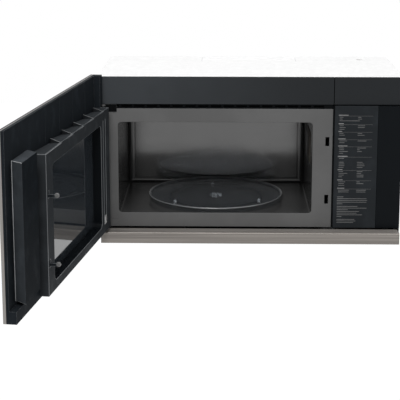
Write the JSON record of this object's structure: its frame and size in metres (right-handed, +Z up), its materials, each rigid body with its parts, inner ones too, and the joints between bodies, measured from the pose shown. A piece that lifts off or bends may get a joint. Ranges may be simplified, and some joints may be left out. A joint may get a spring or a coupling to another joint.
{
  "type": "over the range microwave",
  "caption": "Over-the-range microwave oven with side-hinged door standing open, turntable, vent blower and filters, hung on a wall.",
  "frame": {"origin": "middle of the rear wall face", "axes": "+Z up, +Y into the wall, +X to the right as seen from the front"},
  "size_m": [0.8793, 1.1276, 0.4238],
  "materials": {
    "wrap_zinc": "zinc-coated",
    "base_paint": "satin",
    "zinc_steel": "spangled",
    "zinc_sheet": "satin",
    "frame_paint": "satin",
    "fascia_coat": "satin",
    "panel_plastic": "matte",
    "panel_gloss": "gloss",
    "strip_steel": "brushed",
    "cavity_steel": "semi-gloss",
    "mica": "matte",
    "white_plastic": "matte",
    "black_plastic": "satin",
    "choke_plastic": "satin",
    "latch_plastic": "satin",
    "core_iron": "lacquered",
    "circuit_board": "matte",
    "filter_mesh": "mesh",
    "clear_glass": "polished",
    "dark_glass": "polished",
    "edge_trim": "brushed",
    "hinge_steel": "satin"
  },
  "bodies": {
    "cabinet": {"cabinet_wrap": "wrap_zinc", "rear_plate": "zinc_steel", "base_plate": "base_paint", "face_frame": "frame_paint", "air_slot_rail": "black_plastic", "fascia_left": "fascia_coat", "fascia_right": "fascia_coat", "guide_panel": "panel_plastic", "dark_panel": "panel_gloss", "bottom_strip": "strip_steel", "cavity_liner": "cavity_steel", "waveguide_cover": "mica", "waveguide": "zinc_steel", "cavity_lamp": "white_plastic", "turntable_motor": "zinc_sheet", "magnetron": "zinc_sheet", "transformer": "core_iron", "capacitor": "zinc_sheet", "power_board": "circuit_board", "fan_housing": "black_plastic", "latch_board": "black_plastic", "switch_upper": "white_plastic", "switch_lower": "white_plastic", "cord_bushing": "black_plastic", "blower_housing_left": "zinc_sheet", "blower_housing_right": "zinc_sheet", "blower_motor": "zinc_sheet", "charcoal_filter": "black_plastic", "cooktop_lens_left": "clear_glass", "cooktop_lens_right": "clear_glass", "hinge_upper": "hinge_steel", "hinge_lower": "hinge_steel"},
    "door": {"door_glass": "dark_glass", "door_trim": "edge_trim", "door_screen": "filter_mesh", "door_moulding": "black_plastic", "window_pane": "dark_glass", "choke_frame": "choke_plastic", "control_housing": "black_plastic", "touch_board": "circuit_board"},
    "latch": {"latch_bar": "latch_plastic"},
    "coupler": {"turntable_coupler": "white_plastic"},
    "tray": {"glass_tray": "clear_glass"},
    "ring": {"roller_ring": "black_plastic"},
    "wheel_1": {"roller_wheel_1": "white_plastic"},
    "wheel_2": {"roller_wheel_2": "white_plastic"},
    "wheel_3": {"roller_wheel_3": "white_plastic"},
    "fan": {"fan_blades": "white_plastic"},
    "blower": {"blower_shaft": "zinc_steel", "blower_wheel_left": "zinc_sheet", "blower_wheel_right": "zinc_sheet"},
    "filter_left": {"grease_filter_left": "filter_mesh"},
    "filter_right": {"grease_filter_right": "filter_mesh"}
  },
  "joints": [
    {"name": "door_hinge", "type": "hinge", "parent": "cabinet", "child": "door", "pos_m": [-0.36575, -0.396, 0], "axis": [0, 0, 1], "range_deg": [-2, 97.92]},
    {"name": "latch_slide", "type": "slide", "parent": "door", "child": "latch", "axis": [0, 0, 1], "range_m": [0, 0.004], "stiffness_N_per_m": 300, "springref_m": -0.002},
    {"name": "turntable_spin", "type": "hinge", "parent": "cabinet", "child": "coupler", "pos_m": [-0.088, -0.2, 0], "axis": [0, 0, 1], "continuous": true},
    {"name": "tray_lift", "type": "slide", "parent": "coupler", "child": "tray", "axis": [0, 0, 1], "range_m": [0, 0.05]},
    {"name": "ring_spin", "type": "hinge", "parent": "cabinet", "child": "ring", "pos_m": [-0.088, -0.2, 0], "axis": [0, 0, 1], "continuous": true},
    {"name": "wheel_1_spin", "type": "hinge", "parent": "ring", "child": "wheel_1", "pos_m": [-0.09693, -0.07231, -0.1392], "axis": [-0.0698, 0.9976, 0], "continuous": true},
    {"name": "wheel_2_spin", "type": "hinge", "parent": "ring", "child": "wheel_2", "pos_m": [-0.19412, -0.27158, -0.1392], "axis": [-0.829, -0.5592, 0], "continuous": true},
    {"name": "wheel_3_spin", "type": "hinge", "parent": "ring", "child": "wheel_3", "pos_m": [0.02705, -0.25611, -0.1392], "axis": [0.8988, -0.4384, 0], "continuous": true},
    {"name": "fan_spin", "type": "hinge", "parent": "cabinet", "child": "fan", "pos_m": [0.285, -0.02, 0.0565], "axis": [0, 1, 0], "continuous": true},
    {"name": "blower_spin", "type": "hinge", "parent": "cabinet", "child": "blower", "pos_m": [0, -0.062, 0.1525], "axis": [1, 0, 0], "continuous": true},
    {"name": "grease_filter_left_slide", "type": "slide", "parent": "cabinet", "child": "filter_left", "axis": [1, 0, 0], "range_m": [0, 0.01]},
    {"name": "grease_filter_right_slide", "type": "slide", "parent": "cabinet", "child": "filter_right", "axis": [-1, 0, 0], "range_m": [0, 0.01]}
  ],
  "couplings": [
    {"joint": "ring_spin", "follows": "turntable_spin", "ratio": 0.5},
    {"joint": "wheel_1_spin", "follows": "turntable_spin", "ratio": -12.8},
    {"joint": "wheel_2_spin", "follows": "turntable_spin", "ratio": -12.8},
    {"joint": "wheel_3_spin", "follows": "turntable_spin", "ratio": -12.8}
  ]
}
